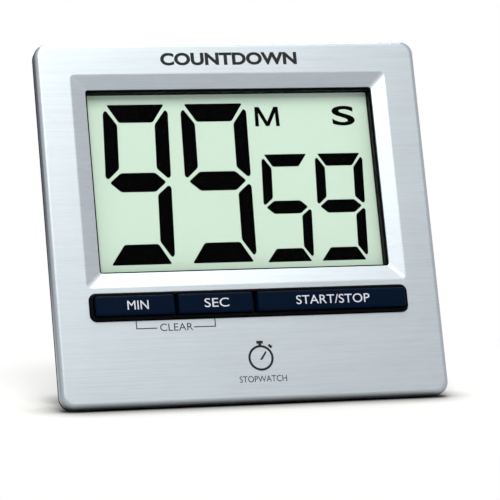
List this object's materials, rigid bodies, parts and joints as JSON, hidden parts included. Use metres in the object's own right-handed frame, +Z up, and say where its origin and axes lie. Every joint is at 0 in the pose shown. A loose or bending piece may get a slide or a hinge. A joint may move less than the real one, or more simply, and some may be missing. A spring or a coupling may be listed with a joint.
{
  "type": "lab timer",
  "caption": "Standing countdown timer with a brushed metal face, large segment display, a row of keys, a swing-out leg, magnets and a sliding cell door.",
  "frame": {"origin": "middle of the bounding box at the bench, under the part", "axes": "+X to the right along the face, +Y back from the face, +Z up; the face looks along -Y and leans back 19.6 degrees"},
  "size_m": [0.0952, 0.0502, 0.0844],
  "materials": {
    "face_metal": "fine horizontal brushing, satin",
    "case_black": "satin black moulding",
    "case_charcoal": "fine spark-eroded texture",
    "key_navy": "satin, pale printed legends",
    "clear_lens": "clear acrylic",
    "lcd_glass": "display glass",
    "lcd_reflector": "pale green reflecting film",
    "white_plastic": "plain",
    "elastomer": "soft strip",
    "board": "green solder mask",
    "epoxy": "smooth drop",
    "steel": "plated",
    "nickel": "plated spring sheet",
    "brass": "plain",
    "ceramic": "fired ceramic with silvered face",
    "silicone": "soft grey",
    "magnet": "nickel-plated magnet",
    "cell": "printed sleeve, no lettering",
    "wire_red": "sleeve",
    "wire_black": "sleeve"
  },
  "bodies": {
    "case": {"face_plate": "face_metal", "front_housing": "case_black", "display_lens": "clear_lens", "lcd_front_glass": "lcd_glass", "lcd_back_glass": "lcd_glass", "lcd_reflector": "lcd_reflector", "lcd_retainer": "white_plastic", "zebra_strip": "elastomer", "circuit_board": "board", "silicone_keypad": "silicone", "controller_chip": "epoxy", "clock_crystal": "steel", "bypass_capacitor": "epoxy", "rear_housing": "case_charcoal", "battery_cell": "cell", "battery_spring_contact": "nickel", "battery_plate_contact": "nickel", "stand_hinge_pin": "steel", "magnet_left": "magnet", "magnet_right": "magnet", "piezo_disc": "brass", "piezo_element": "ceramic", "case_screw_1": "steel", "case_screw_2": "steel", "board_screw_1": "steel", "board_screw_2": "steel", "board_screw_3": "steel", "battery_lead_positive": "wire_red", "battery_lead_negative": "wire_black", "buzzer_lead_1": "wire_red", "buzzer_lead_2": "wire_black"},
    "min_key": {"key_min": "key_navy"},
    "sec_key": {"key_sec": "key_navy"},
    "start_stop_key": {"key_start_stop": "key_navy"},
    "leg": {"stand_leg": "case_charcoal"},
    "door": {"battery_door": "case_charcoal"}
  },
  "joints": [
    {"name": "min_key_press", "type": "slide", "parent": "case", "child": "min_key", "axis": [0, 0.9421, -0.3355], "range_m": [0, 0.0008], "stiffness_N_per_m": 600, "springref_m": -0.0005, "deforming": ["silicone_keypad"]},
    {"name": "sec_key_press", "type": "slide", "parent": "case", "child": "sec_key", "axis": [0, 0.9421, -0.3355], "range_m": [0, 0.0008], "stiffness_N_per_m": 600, "springref_m": -0.0005, "deforming": ["silicone_keypad"]},
    {"name": "start_stop_key_press", "type": "slide", "parent": "case", "child": "start_stop_key", "axis": [0, 0.9421, -0.3355], "range_m": [0, 0.0008], "stiffness_N_per_m": 600, "springref_m": -0.0005, "deforming": ["silicone_keypad"]},
    {"name": "leg_swing", "type": "hinge", "parent": "case", "child": "leg", "pos_m": [0, 0.01313, 0.05001], "axis": [1, 0, 0], "range_deg": [-31.6, 0]},
    {"name": "door_slide", "type": "slide", "parent": "case", "child": "door", "axis": [0, 0.3355, 0.9421], "range_m": [0, 0.019]}
  ]
}
